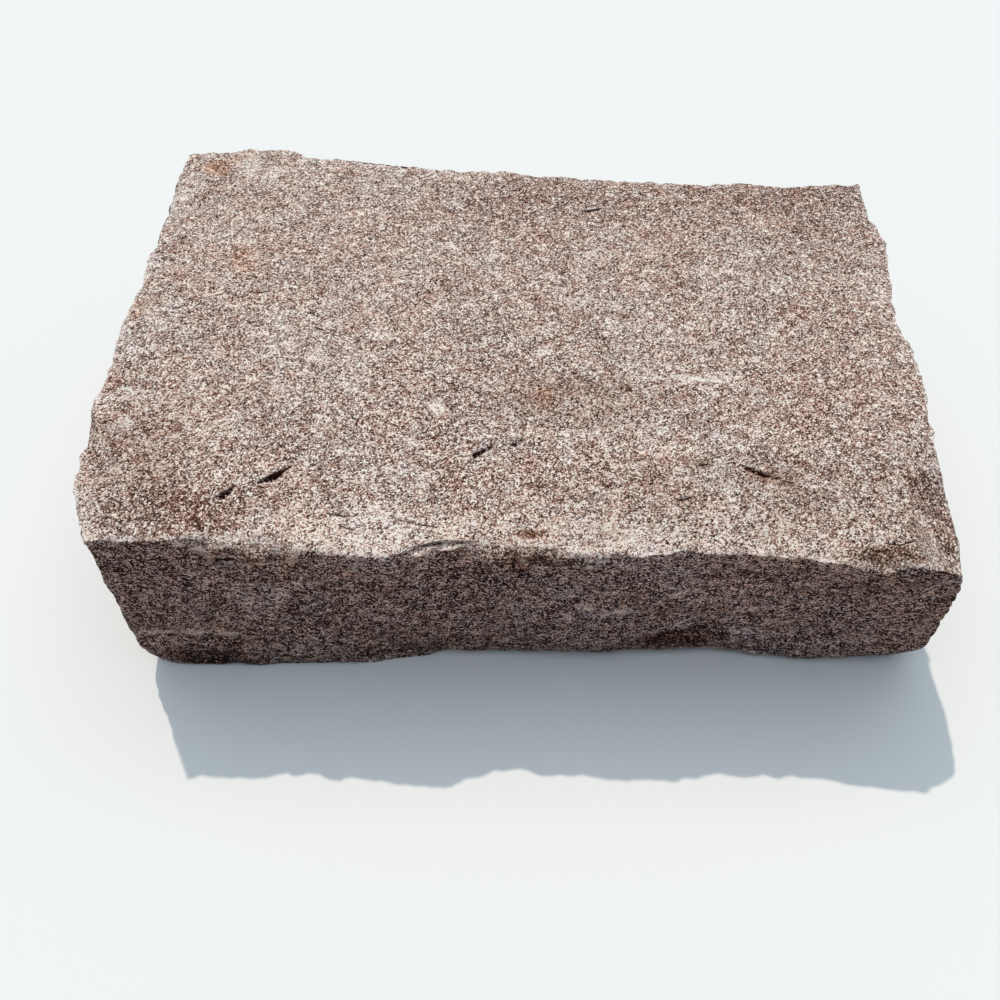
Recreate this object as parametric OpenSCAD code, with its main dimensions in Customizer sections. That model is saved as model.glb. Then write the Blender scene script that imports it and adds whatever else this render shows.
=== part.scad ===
// Granite Belgian block: one split paving block, lying on its flat bed.
// Origin at the middle of the bed's surrounding box, X along the length,
// Y towards the back, Z up. All sizes in millimetres.

/* [Overall size] */
// Length over the widest points of the two ends
block_length = 292; // [200:1:400]
// Depth over the widest points of the front and back faces
block_depth = 206; // [140:1:300]
// Height of the top's slope at its highest corner, back left
block_height = 100; // [70:1:160]

/* [Top face] */
// How much lower the front edge is than the back edge
front_fall = 9; // [0:0.5:20]
// How much lower the right end is than the left end
right_fall = 6; // [0:0.5:12]
// Height of the slow waves on the top
top_wave = 1; // [0:0.1:3]
// How far the top rolls down to its edges
edge_roll = 1; // [0:0.1:4]
// How far in from its edges the top rolls down
edge_roll_reach = 14; // [5:1:30]

/* [Side faces] */
// Height of the waist, where the side faces stand out furthest
waist_height = 26; // [15:1:40]
// Height of the waves on the four side faces
side_wave = 1.2; // [0:0.1:2]

/* [Flake scar along the front] */
// Depth of the shallow scar at the front edge
scar_depth = 2; // [0:0.1:4]
// How far the scar runs back at its middle
scar_reach = 52; // [20:1:70]
// Length of the scar along the front edge
scar_length = 220; // [100:5:280]

/* [Chipped corners] */
// Depth of the scoop in the top at the front right corner
scoop_depth = 5; // [0:0.5:8]
// Radius of that scoop
scoop_radius = 30; // [10:1:45]
// Depth of the worn dip in the top at the front left corner
dip_depth = 2; // [0:0.5:6]
// Radius of that dip
dip_radius = 60; // [20:1:80]

/* [Hidden] */

granite = [0.70, 0.63, 0.59];

// Mesh spacing: steps along each long and each short side
long_steps = 32;
short_steps = 22;
// Levels up the sides, as shares of the local height
side_levels = [0.03, 0.09, 0.18, 0.3, 0.42, 0.54, 0.66, 0.78, 0.89, 0.97];
// Rings over the top, as shares of the way out from the middle
top_rings = [0.985, 0.96, 0.925, 0.88, 0.82, 0.74, 0.65, 0.54, 0.42, 0.29, 0.15];

// Where the middle of the scoop lies, in from the right end and from the front
scoop_in = [8, 26];
// How steeply the scar falls from its back edge: 1 is gentle
scar_steepness = 1.2;

// The three sines in the slow waves, each as [share of the height, degrees per
// millimetre along, degrees per millimetre across]
wave_sines = [[0.5, 5.3, 2.1], [0.3, -4.4, 3.7], [0.2, 9.1, 7.3]];
// Where the waves start on each face, in degrees, so that no two look alike
left_start = 40;
right_start = 130;
front_start = 210;
back_start = 300;
top_start = 75;
// The stretch of waves that is laid along a side face and up it
side_stretch = [120, 60];

// Outlines of the four side faces, each as distances in from the overall
// size. An entry is [share of the way along the side, distance in]: front and
// back run left to right, left and right run front to back. Each face has an
// outline at its top arris, one at its waist and one at the bed.
front_top = [
    [0, 7], [0.18, 8], [0.22, 6], [0.32, 3], [0.35, 3], [0.39, 9], [0.53, 8],
    [0.6, 4.5], [0.64, 4], [0.67, 6], [0.8, 5], [0.89, 1], [0.93, 0], [1, 1]
];
front_waist = [
    [0, 14], [0.1, 12], [0.25, 13], [0.35, 12], [0.45, 16], [0.6, 15],
    [0.7, 17], [0.78, 16], [0.9, 12], [1, 13]
];
front_bed = [
    [0, 17.5], [0.05, 15], [0.12, 15.5], [0.32, 16], [0.37, 18], [0.41, 21], [0.68, 21],
    [0.74, 24], [0.79, 21], [0.9, 18], [0.96, 19], [1, 24]
];
back_top = [
    [0, 5], [0.05, 2], [0.11, 0], [0.155, 0], [0.17, 6], [0.2, 8], [0.24, 6],
    [0.31, 9], [0.39, 14], [0.47, 14], [0.63, 19], [0.77, 20], [0.82, 19],
    [0.87, 21], [0.95, 18], [1, 18]
];
back_waist = [
    [0, 12], [0.06, 6], [0.2, 4], [0.35, 9], [0.5, 8], [0.62, 13], [0.8, 15],
    [0.93, 13], [1, 18]
];
back_bed = [
    [0, 20], [0.06, 13], [0.2, 12], [0.35, 18], [0.5, 15], [0.62, 21],
    [0.8, 23], [0.93, 22], [1, 30]
];
left_top = [
    [0, 10], [0.06, 4], [0.12, 1], [0.2, 0], [0.3, 0], [0.36, 2], [0.46, 1],
    [0.54, 3], [0.62, 4], [0.7, 2], [0.75, 6], [0.9, 5], [1, 6]
];
left_waist = [
    [0, 4], [0.1, 2], [0.3, 3], [0.45, 6], [0.6, 3], [0.8, 7], [0.94, 8],
    [1, 12]
];
left_bed = [
    [0, 8], [0.1, 6], [0.3, 8], [0.45, 13], [0.6, 9], [0.8, 14], [0.94, 15],
    [1, 22]
];
right_top = [
    [0, 13.5], [0.1, 11.5], [0.12, 10], [0.17, 11], [0.3, 11], [0.36, 9], [0.5, 9],
    [0.54, 11], [0.62, 10], [0.72, 7], [0.78, 5], [0.84, 5], [0.88, 8], [1, 7]
];
right_waist = [
    [0, 1], [0.05, 0], [0.2, 3], [0.4, 8], [0.6, 4], [0.8, 7], [0.94, 8],
    [1, 12]
];
right_bed = [
    [0, 16], [0.06, 12], [0.25, 13], [0.45, 17], [0.65, 12], [0.85, 15],
    [0.94, 17], [1, 24]
];

function mix(a, b, share) = a + (b - a) * share;
function smooth(x) = let (s = max(0, min(1, x))) s * s * (3 - 2 * s);

// Slow waves of height about 1, from a few sines that don't repeat together
function wave(x, y, start) =
    [
        for (k = [0:2])
            let (s = wave_sines[k]) s[0] * sin(s[1] * x + s[2] * y + (k + 1) * start)
    ] * [1, 1, 1];

// Distance of a side face in from the overall size, at a share of the way
// along it and a share of the height: rounded under from the waist to the
// bed, straight from the waist to the top arris, with slow waves over it.
// The waves die out at the bed and the arris, and no face passes the overall
// size.
function face_inset(top, waist, bed, along, up, start) =
    let (
        waist_up = waist_height / block_height,
        at_waist = lookup(along, waist),
        under = max(0, 1 - up / waist_up) ^ 3,
        over = max(0, (up - waist_up) / (1 - waist_up)),
        line = at_waist
            + (lookup(along, bed) - at_waist) * under
            + (lookup(along, top) - at_waist) * over,
        waves = wave(along * side_stretch[0], up * side_stretch[1], start),
        ripple = side_wave * waves * sin(180 * up)
    )
    max(0, line + ripple);

// A place in plan: u runs from the left end to the right, v from the front
// face to the back, both from 0 to 1, at a share of the height
function plan_point(u, v, up) =
    let (
        left = face_inset(left_top, left_waist, left_bed, v, up, left_start),
        right = face_inset(right_top, right_waist, right_bed, v, up, right_start),
        front = face_inset(front_top, front_waist, front_bed, u, up, front_start),
        back = face_inset(back_top, back_waist, back_bed, u, up, back_start)
    )
    [
        mix(left - block_length / 2, block_length / 2 - right, u),
        mix(front - block_depth / 2, block_depth / 2 - back, v)
    ];

// Depth of a round hollow of a given depth and radius, at a distance from
// its middle
function hollow(depth, radius, distance) =
    depth * smooth(1 - distance / radius);

// Depth of the flake scar: an arch in plan, deepest at the front edge
function scar(p) =
    let (
        across = (2 * p[0] / scar_length) ^ 2,
        back_edge = scar_reach * sqrt(max(0, 1 - across)),
        in_from_front = p[1] + block_depth / 2
    )
    back_edge > 0
        ? scar_depth * smooth(scar_steepness * (1 - in_from_front / back_edge))
        : 0;

// Distance from a place in plan to the nearest edge of the top
function edge_distance(u, v) =
    min(min(u, 1 - u) * block_length, min(v, 1 - v) * block_depth);

// Height of the top over a place in plan
function top_height(u, v) =
    let (
        p = plan_point(u, v, 1),
        plane = block_height - right_fall * u - front_fall * (1 - v),
        near_edge = max(0, 1 - edge_distance(u, v) / edge_roll_reach),
        scoop_at = [block_length / 2 - scoop_in[0], scoop_in[1] - block_depth / 2],
        dip_at = [-block_length / 2, -block_depth / 2]
    )
    plane
    - edge_roll * near_edge ^ 2
    - top_wave * (0.5 + 0.5 * wave(p[0], p[1], top_start)) * (1 - near_edge)
    - scar(p)
    - hollow(scoop_depth, scoop_radius, norm(p - scoop_at))
    - hollow(dip_depth, dip_radius, norm(p - dip_at));

// The rim: once round the plan, anticlockwise from the front left corner
rim = concat(
    [for (i = [0:long_steps - 1]) [i / long_steps, 0]],
    [for (i = [0:short_steps - 1]) [1, i / short_steps]],
    [for (i = [0:long_steps - 1]) [1 - i / long_steps, 1]],
    [for (i = [0:short_steps - 1]) [0, 1 - i / short_steps]]
);
middle = [0.5, 0.5];

// One closed loop of points round the sides, at a share of the height
function side_loop(up) = [
    for (r = rim)
        let (p = plan_point(r[0], r[1], up))
            [p[0], p[1], up * top_height(r[0], r[1])]
];

// One closed loop of points on the top, at a share of the way out
function top_loop(out) = [
    for (r = rim)
        let (q = mix(middle, r, out), p = plan_point(q[0], q[1], 1))
            [p[0], p[1], top_height(q[0], q[1])]
];

// Triangles between two neighbouring loops, the first one lower or further
// out than the second
function band(first, count) = [
    for (i = [0:count - 1])
        let (
            j = (i + 1) % count,
            a = first + i,
            b = first + j,
            c = a + count,
            d = b + count
        )
        each i % 2 == 0 ? [[a, d, b], [a, c, d]] : [[a, c, b], [b, c, d]]
];

// Triangles that close a loop onto one point, facing down or up
function fan(first, centre, count, facing_up) = [
    for (i = [0:count - 1])
        let (a = first + i, b = first + (i + 1) % count)
        facing_up ? [a, centre, b] : [b, centre, a]
];

// The whole block: loops from the bed up the sides and in over the top,
// closed by a flat fan under the bed and by a fan at the middle of the top
module block() {
    count = len(rim);
    loops = concat(
        [for (up = concat([0], side_levels, [1])) side_loop(up)],
        [for (out = top_rings) top_loop(out)]
    );
    loop_points = [for (loop = loops) each loop];
    bed_middle = plan_point(middle[0], middle[1], 0);
    top_middle = plan_point(middle[0], middle[1], 1);
    points = concat(
        loop_points,
        [[bed_middle[0], bed_middle[1], 0]],
        [[top_middle[0], top_middle[1], top_height(middle[0], middle[1])]]
    );
    faces = concat(
        fan(0, len(loop_points), count, false),
        [for (k = [0:len(loops) - 2]) each band(k * count, count)],
        fan(len(loop_points) - count, len(loop_points) + 1, count, true)
    );
    color(granite)
        polyhedron(points, faces, convexity = 6);
}

block();
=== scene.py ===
"""Granite Belgian block: the split, chipped and weathered surface of one stone.

The CAD block gives the size, the outline of every face and the flat bed.
This script lays a fine mesh over it, chips its edges, opens its small cracks,
roughens its faces, and paints the granite. The back and both ends are hidden
in the photo, and what is on them is guessed.
"""
import math
import random

import bpy
import numpy as np
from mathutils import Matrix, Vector, noise
from mathutils.bvhtree import BVHTree
from numpy.linalg import norm


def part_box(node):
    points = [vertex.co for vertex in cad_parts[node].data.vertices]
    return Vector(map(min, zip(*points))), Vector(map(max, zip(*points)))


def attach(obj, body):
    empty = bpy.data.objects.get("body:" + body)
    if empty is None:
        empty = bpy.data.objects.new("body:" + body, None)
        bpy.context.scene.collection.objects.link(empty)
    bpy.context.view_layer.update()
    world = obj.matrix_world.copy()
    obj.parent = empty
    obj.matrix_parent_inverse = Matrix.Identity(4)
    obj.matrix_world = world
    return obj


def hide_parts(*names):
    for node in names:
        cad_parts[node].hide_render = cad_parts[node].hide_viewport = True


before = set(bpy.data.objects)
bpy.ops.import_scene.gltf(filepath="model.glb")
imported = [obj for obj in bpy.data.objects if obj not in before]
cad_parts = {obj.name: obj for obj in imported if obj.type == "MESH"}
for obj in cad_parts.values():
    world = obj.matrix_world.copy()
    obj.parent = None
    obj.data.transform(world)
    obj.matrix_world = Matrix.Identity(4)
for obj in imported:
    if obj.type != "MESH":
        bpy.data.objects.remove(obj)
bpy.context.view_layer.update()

NODE = "block"
MM = 0.001
# The corner of the CAD block's box with the largest X, Y and Z, in millimetres
HIGH = np.array(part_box(NODE)[1]) / MM
random.seed(7)


def new_object(name, data):
    made = bpy.data.objects.new(name, data)
    bpy.context.scene.collection.objects.link(made)
    return made


# ---------- the mesh ----------
# From here to the stage, lengths and places are in millimetres, in the block's
# frame. The mesh and the material's nodes turn them into metres.
# The mesh is laid out in rows round the block, from the bed up the sides and
# in over the top to a rectangle in plan, the core, which gets a plain grid.
CORE_X, CORE_Y = 100, 60  # half sizes of the core
STEP_X, STEP_Y = 1.12, 1.6  # mesh spacing along the length and along the depth
CORNER_STEP = 1.5  # spacing round the corners
RING_STEP = 0.85  # spacing of the rows on the top, near its edge
RING_REACH = 24  # how far in from the edge the fine rows go
SIDE_ROWS = 60  # rows up the sides
# The rows up the sides are spaced partly evenly and partly crowded towards
# both ends: the two shares, and how crowded
EVEN_SHARE, CROWDED_SHARE, CROWDING = 0.45, 0.55, 1.7
BED_POINTS = 180  # the bed's rows thin out to about this many points
BED_THINNING = 0.02  # how much nearer the middle each row that thins out is
BED_ROWS = 12  # rows from there to the middle of the bed
# An edge lies on a rim where one of its faces has a normal whose Z is over the
# first number, and the other has one whose Z is under the second
TOP_RIM, BED_RIM = (0.8, 0.6), (-0.99, -0.999)
NEARLY_ZERO, SLACK = 1e-9, 1e-6  # guards against rounding
SAME_POINT = 3  # corners that agree to this many decimals are one


def cad_surface():
    """The CAD block as one BVH tree, with the edges of its two sharp rims."""
    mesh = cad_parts[NODE].data
    points, index = {}, []
    for vertex in mesh.vertices:
        key = tuple(round(c / MM, SAME_POINT) for c in vertex.co)
        index.append(points.setdefault(key, len(points)))
    corners = np.array(list(points))
    faces = [[index[v] for v in polygon.vertices] for polygon in mesh.polygons]
    edges = {}
    for polygon, face in zip(mesh.polygons, faces):
        for a, b in zip(face, face[1:] + face[:1]):
            edges.setdefault((min(a, b), max(a, b)), []).append(polygon.normal.z)

    def rim(over, under):
        ends = [e for e, ups in edges.items() if max(ups) > over and min(ups) < under]
        return corners[np.array(ends)]

    tree = BVHTree.FromPolygons([Vector(c) for c in corners], faces)
    return tree, rim(*TOP_RIM), rim(*BED_RIM)


def cross_rim(rim, starts, directions):
    """Where lines in plan, from the starts along the directions, cross a rim."""
    a, b = rim[:, 0], rim[:, 1]
    edge = (b - a)[:, :2]
    crossings = []
    for start, (dx, dy) in zip(starts, directions):
        cross = dx * edge[:, 1] - dy * edge[:, 0]
        cross = np.where(np.abs(cross) < NEARLY_ZERO, NEARLY_ZERO, cross)
        to_a = a[:, :2] - start
        reach = (to_a[:, 0] * edge[:, 1] - to_a[:, 1] * edge[:, 0]) / cross
        along = (to_a[:, 0] * dy - to_a[:, 1] * dx) / cross
        hit = (along > -SLACK) & (along < 1 + SLACK) & (reach > 0)
        best = np.argmax(np.where(hit, reach, -1))
        crossings.append(a[best] + along[best] * (b[best] - a[best]))
    return np.array(crossings)


def perimeter(nx, ny, nc):
    """Starts on the core and directions outward, once round anticlockwise, in
    nx steps along the core, ny across it and nc round each corner."""
    starts, directions = [], []
    corners = [(-CORE_X, -CORE_Y), (CORE_X, -CORE_Y), (CORE_X, CORE_Y), (-CORE_X, CORE_Y)]
    for side in range(4):
        begin, end = np.array(corners[side]), np.array(corners[(side + 1) % 4])
        steps = ny if side % 2 else nx
        facing = (side - 1) * math.pi / 2
        for i in range(steps + 1):
            starts.append(begin + (end - begin) * i / steps)
            directions.append((math.cos(facing), math.sin(facing)))
        for i in range(1, nc):
            turn = facing + math.pi / 2 * i / nc
            starts.append(end)
            directions.append((math.cos(turn), math.sin(turn)))
    return np.array(starts), np.array(directions)


def crowded(count):
    """Shares from 0 to 1 that lie closer together towards both ends."""
    even = np.linspace(0, 1, count + 1)
    return EVEN_SHARE * even + CROWDED_SHARE * np.where(
        even < 0.5, 0.5 * (2 * even) ** CROWDING, 1 - 0.5 * (2 - 2 * even) ** CROWDING
    )


class BlockMesh:
    """The rows of points round the block and the faces between them."""

    def __init__(self):
        self.tree, top_rim, bed_rim = cad_surface()
        self.nx = 2 * round(CORE_X / STEP_X)
        self.ny = 2 * round(CORE_Y / STEP_Y)
        margin = min(HIGH[0] - CORE_X, HIGH[1] - CORE_Y)
        self.nc = 2 * round(margin * math.pi / 4 / CORNER_STEP)
        self.starts, self.directions = perimeter(self.nx, self.ny, self.nc)
        self.count = len(self.starts)
        self.points, self.faces, self.rows = [], [], []
        self.under = []  # points under the block, each with its column
        edge = cross_rim(top_rim, self.starts, self.directions)
        self.lay_sides(cross_rim(bed_rim, self.starts, self.directions), edge)
        self.lay_rings(edge, margin)
        for lower, upper in zip(self.rows, self.rows[1:]):
            for i in range(self.count):
                j = (i + 1) % self.count
                self.faces.append((lower + i, lower + j, upper + j, upper + i))
        self.lay_core()
        self.lay_bed()
        self.points = np.array(self.points)
        self.rows = np.array(self.rows)

    def add_points(self, more):
        self.points.extend(tuple(p) for p in more)
        return len(self.points) - len(more)

    def on_top(self, x, y):
        hit = self.tree.ray_cast(Vector((x, y, 2 * HIGH[2])), Vector((0, 0, -1)))[0]
        return x, y, hit.z

    def lay_sides(self, bed, edge):
        self.rows.append(self.add_points(bed))
        far = 2 * HIGH[0]  # well outside the block
        for share in crowded(SIDE_ROWS)[1:-1]:
            row = []
            for start, direction, top in zip(self.starts, self.directions, edge):
                inward = Vector((-direction[0], -direction[1], 0))
                origin = Vector((*start, share * top[2])) - inward * far
                row.append(self.tree.ray_cast(origin, inward)[0])
            self.rows.append(self.add_points(row))
        self.rows.append(self.add_points(edge))

    def lay_rings(self, edge, margin):
        fine = round(RING_REACH / RING_STEP)
        coarse = round((margin - RING_REACH) / STEP_X)
        turn = RING_REACH / margin
        shares = [*np.linspace(0, turn, fine + 1)[1:], *np.linspace(turn, 1, coarse + 1)[1:-1]]
        for share in shares:
            plan = edge[:, :2] + (self.starts - edge[:, :2]) * share
            self.rows.append(self.add_points([self.on_top(x, y) for x, y in plan]))

    def lay_core(self):
        nx, ny, nc = self.nx, self.ny, self.nc
        first = self.add_points([
            self.on_top(CORE_X * (2 * i / nx - 1), CORE_Y * (2 * j / ny - 1))
            for j in range(ny + 1) for i in range(nx + 1)
        ])

        def at(i, j):
            return first + j * (nx + 1) + i

        self.faces.extend(
            (at(i, j), at(i + 1, j), at(i + 1, j + 1), at(i, j + 1))
            for j in range(ny) for i in range(nx)
        )
        sides = (
            [at(i, 0) for i in range(nx + 1)], [at(nx, j) for j in range(ny + 1)],
            [at(nx - i, ny) for i in range(nx + 1)], [at(0, ny - j) for j in range(ny + 1)],
        )
        rim = [point for side in sides for point in side + side[-1:] * (nc - 1)]
        outer = self.rows[-1]
        for i in range(self.count):
            j = (i + 1) % self.count
            face = (outer + i, outer + j, rim[j], rim[i])
            self.faces.append(face if rim[i] != rim[j] else face[:3])

    def lay_bed(self):
        """Rows inward under the block, each with half the points while it can."""
        row, n, share = self.rows[0], self.count, 1.0
        edge = np.array(self.points[row:row + n])
        column = np.arange(n)
        while n % 2 == 0 and n // 2 >= BED_POINTS:
            share -= BED_THINNING
            edge, column = edge[::2], column[::2]
            inner = self.add_points(edge * share)
            self.under.extend(zip(range(inner, inner + n // 2), column))
            for i in range(0, n, 2):
                a, b, c = row + i, row + i + 1, row + (i + 2) % n
                p, q = inner + i // 2, inner + (i // 2 + 1) % (n // 2)
                self.faces.extend([(b, a, p), (b, p, q), (b, q, c)])
            row, n = inner, n // 2
        for inward in np.linspace(share, 0, BED_ROWS + 1)[1:-1]:
            inner = self.add_points(edge * inward)
            self.under.extend(zip(range(inner, inner + n), column))
            for i in range(n):
                j = (i + 1) % n
                self.faces.append((row + j, row + i, inner + i, inner + j))
            row = inner
        middle = self.add_points([(0, 0, 0)])
        self.faces.extend((row + (i + 1) % n, row + i, middle) for i in range(n))


# ---------- the relief ----------
# Lips that stand out of the front face just below its top edge: x and z of the
# middle, half sizes along x and z, height
LIPS = [
    (-94, 79.5, 9, 6, 4.2), (-84, 80.5, 9, 5, 3.6), (-75, 83, 7, 3, 2.2),
    (-30, 82, 9, 2.2, 2.6), (-8, 80, 14, 5, 3.6), (10, 80, 12, 5, 3),
    (21, 80, 7, 4, 1.5), (106, 78, 12, 5, 1),
]
LIP_UNDERCUT = 2.2  # how many times shorter a lip is below than above
LIP_REACH = 1.4  # where a lip ends, in its half sizes
# Chips on the front edge of the top: x of the middle, half length, depth, and
# how far the chip's face leans back from upright, in degrees
FRONT_CHIPS = [
    (-141, 5, 0.7, 40), (-124, 7, 0.4, 45), (-105, 5, 0.9, 25), (-93, 11, 1.7, 54),
    (-81, 9, 1.2, 54), (-72, 6, 0.7, 50), (-55, 8, 0.5, 30), (-41, 5, 0.6, 50),
    (-34, 6, 0.6, 42), (-20, 8, 0.7, 40), (-8, 16, 0.5, 40), (8, 12, 0.6, 36),
    (21, 5, 0.9, 40), (45, 10, 0.3, 50), (63, 6, 0.5, 40), (82, 8, 0.3, 60),
    (101, 7, 0.9, 45), (108, 6, 1.4, 50), (118, 5, 0.5, 35), (133, 16, 7, 68),
    (142, 8, 1.2, 60),
]
# Chips along the front of the bed, listed alike. Their faces look down.
FRONT_BED_CHIPS = [
    (-121, 9, 0.6, -40), (-108, 8, 1, -50), (-72, 12, 0.6, -50), (-30, 16, 1.2, -35),
    (-8, 10, 1.2, -45), (18, 12, 0.6, -50), (37, 8, 1.2, -45), (55, 12, 1.4, -60),
    (74, 12, 3, -62), (92, 7, 1, -50),
]
# Shell-shaped hollows: a place on the surface, the way the hollow faces, its
# length and its depth
HOLLOWS = [
    ((134, -82, 83.5), (0.25, -0.05, 1), 36, 1.8),  # the front right corner
    ((52, -88, 15), (0.05, -1, -0.15), 36, 2.4),  # low on the front face
    ((-116, -91, 9), (0, -1, -0.15), 26, 2.2),
    ((-1, -91.2, 86), (0, -0.3, 1), 9, 1),  # a small lens by the top edge
    ((-34, -87, 14), (0, -1, -0.2), 30, 1.2),
    ((-142, 42, 96), (-1, 0, 0.7), 13, 1),  # along the left edge
    ((-144, -55, 91), (-1, 0, 0.7), 12, 0.9),
]
# A broad facet struck off the right edge: x and y of its middle, half length,
# depth and lean
FACET = (134, -79, 19, 4.2, 62)
CRUSHED_UNDER = 2  # listed chips that are less deep than this look crushed
# Small random chips. A length or half length is the first number plus a random
# part of the second, and the higher the third is, the more of them are short.
# A depth is a share of that, and a lean is in degrees.
EDGE_CHIPS = 300  # all round the edge of the top
EDGE_HALF_LENGTH, EDGE_DEPTH, EDGE_LEAN = (1.5, 4.5, 2.5), (0.04, 0.2), (15, 70)
BED_CHIPS = 90  # round the bed, less those that fall along the front
BED_HALF_LENGTH, BED_DEPTH, BED_LEAN = (2, 8, 2), (0.05, 0.18), (-60, -20)
CORNER_CHIPS = 16  # up each corner
CORNER_LENGTH, CORNER_DEPTH, CORNER_TILT = (4, 8, 2), 0.06, 0.2
CORNER_ROWS_FREE, CORNER_COLUMNS = 4, 2  # rows kept clear, columns either way
CORNER_WAY = (0.7, 1)  # a corner is the point furthest out this way in X and Y
SIDE_SHELLS = 26  # broad hollows up the sides, less those that fall near the front
SHELL_LENGTH, SHELL_DEPTH, SHELL_TILT = (22, 50), (0.025, 0.05), 0.1
SHELL_ROWS = (SIDE_ROWS // 4, SIDE_ROWS * 3 // 5)
TOP_CHIP_ROWS, BED_CHIP_ROWS = 18, 14  # rows beside an edge that chips can cut
CHIP_REACH = 1.2  # where a chip ends, in its half lengths
OUTWARD_OVER = 3  # columns either way that give an edge's direction
FRONT_EDGE_Y = -CORE_Y - 10  # the front part of an edge is before this
UP = np.array((0, 0, 1))
SEED_SHIFT = (13.7, 7.1, 3.3)  # how far apart the noises of two seeds are taken


def smooth(share):
    share = np.clip(share, 0, 1)
    return share * share * (3 - 2 * share)


def rising(values, start, over):
    """0 up to the start, then rising smoothly to 1 over a distance."""
    return smooth((values - start) / over)


def mostly_short(least, more, power):
    return least + more * random.random() ** power


def unit(vector):
    return np.asarray(vector, float) / norm(vector)


def noise_field(points, size, octaves, seed):
    """Fractal noise of about -1 to 1 whose largest lumps are size across. Each
    octave is half the size and half the height of the last."""
    shift = Vector([seed * way for way in SEED_SHIFT])
    return np.array([noise.fractal(Vector(p) / size + shift, 1, 2, octaves) for p in points])


def surface_normals(points, triangles):
    """Unit normals at the points of a mesh of triangles."""
    a, b, c = (points[triangles[:, k]] for k in range(3))
    facing = np.cross(b - a, c - a)
    out = np.zeros_like(points)
    for k in range(3):
        np.add.at(out, triangles[:, k], facing)
    return out / np.maximum(norm(out, axis=1, keepdims=True), NEARLY_ZERO)


def nearest_on_path(points, path):
    """Nearest places on a path, how far away they are, and the share along it."""
    path = np.array(path, float)
    lengths = norm(np.diff(path, axis=0), axis=1)
    best = np.full(len(points), np.inf)
    place, share = np.zeros_like(points), np.zeros(len(points))
    done = 0.0
    for a, b, length in zip(path, path[1:], lengths):
        along = np.clip((points - a) @ (b - a) / length ** 2, 0, 1)
        spot = a + along[:, None] * (b - a)
        gap = norm(points - spot, axis=1)
        closer = gap < best
        best[closer], place[closer] = gap[closer], spot[closer]
        share[closer] = (done + along[closer] * length) / lengths.sum()
        done += length
    return place, best, share


def scoop(points, at, facing, length, depth):
    """Cuts a shell-shaped hollow, as a ball would."""
    facing = unit(facing)
    radius = (length / 2) ** 2 / (2 * depth) + depth / 2
    away = points - (np.array(at) + facing * (radius - depth))
    reach = norm(away, axis=1)
    inside = (reach < radius) & (away @ -facing > 0)
    points[inside] += away[inside] * (radius / reach[inside] - 1)[:, None]


class Edge:
    """A sharp edge of the block, and the points of the mesh alongside it."""

    def __init__(self, block, row, reach):
        rows = block.rows[max(row - reach, 0):row + reach + 1]
        columns = np.arange(block.count)
        self.index = (rows[:, None] + columns).ravel()
        self.column = np.tile(columns, len(rows))
        if row == 0:
            under = np.array(block.under)
            self.index = np.append(self.index, under[:, 0])
            self.column = np.append(self.column, under[:, 1])
        self.line = block.points[block.rows[row] + columns].copy()
        after, before = (np.roll(self.line, k, axis=0) for k in (-OUTWARD_OVER, OUTWARD_OVER))
        ahead = after - before
        self.outward = np.stack([ahead[:, 1], -ahead[:, 0], 0 * ahead[:, 0]], axis=1)
        self.outward /= norm(self.outward, axis=1, keepdims=True)
        steps = norm(np.roll(self.line, -1, axis=0) - self.line, axis=1)
        self.run = np.concatenate([[0], np.cumsum(steps)[:-1]])
        self.length = steps.sum()

    def at_front(self, x):
        """The column nearest to an x, along the front and round its corners."""
        front = np.where(self.line[:, 1] < FRONT_EDGE_Y)[0]
        return front[np.argmin(np.abs(self.line[front, 0] - x))]

    def nearest(self, x, y):
        """The column that is nearest to a place in plan."""
        return np.argmin(np.hypot(self.line[:, 0] - x, self.line[:, 1] - y))

    def chip(self, points, cut, where, half, depth, lean):
        """Strikes off one flat chip that is deepest in the middle of its length."""
        gap = self.run - self.run[where]
        gap = (gap + self.length / 2) % self.length - self.length / 2
        near = np.abs(gap[self.column]) < CHIP_REACH * half
        index, column = self.index[near], self.column[near]
        lean = math.radians(lean)
        facing = self.outward[where] * math.cos(lean) + UP * math.sin(lean)
        over = (points[index] - self.line[column]) @ facing
        over = np.clip(over + depth * (1 - (gap[column] / half) ** 2), 0, None)
        points[index] -= over[:, None] * facing
        cut[index] = np.maximum(cut[index], over)


def raise_lips(points, on_front):
    """Pushes the front face forward in lips that break off short underneath."""
    push = np.zeros(len(points))
    for x, z, half_x, half_z, height in LIPS:
        up = (points[:, 2] - z) / half_z
        up = np.where(up < 0, LIP_UNDERCUT * up, up)
        away = np.hypot((points[:, 0] - x) / half_x, up)
        push = np.maximum(push, height * smooth(LIP_REACH - away))
    points[:, 1] -= push * on_front


def corner_chips(block, top, normals):
    """Random chips up the four corners, listed as the hollows are."""
    chips = []
    for sx, sy in ((-1, -1), (1, -1), (1, 1), (-1, 1)):
        corner = np.argmax(top.line @ (CORNER_WAY[0] * sx, CORNER_WAY[1] * sy, 0))
        for _ in range(CORNER_CHIPS):
            row = random.randint(CORNER_ROWS_FREE, SIDE_ROWS - CORNER_ROWS_FREE)
            at = block.rows[row] + corner + random.randint(-CORNER_COLUMNS, CORNER_COLUMNS)
            facing = normals[at] + (0, 0, random.uniform(-CORNER_TILT, CORNER_TILT))
            length = mostly_short(*CORNER_LENGTH)
            chips.append((block.points[at].copy(), facing, length, CORNER_DEPTH * length))
    return chips


def strike_front(edge, points, cut, chips):
    """Strikes off the listed chips along the front of an edge."""
    for x, half, depth, lean in chips:
        struck = cut if depth < CRUSHED_UNDER else np.zeros(len(points))
        edge.chip(points, struck, edge.at_front(x), half, depth, lean)


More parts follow.
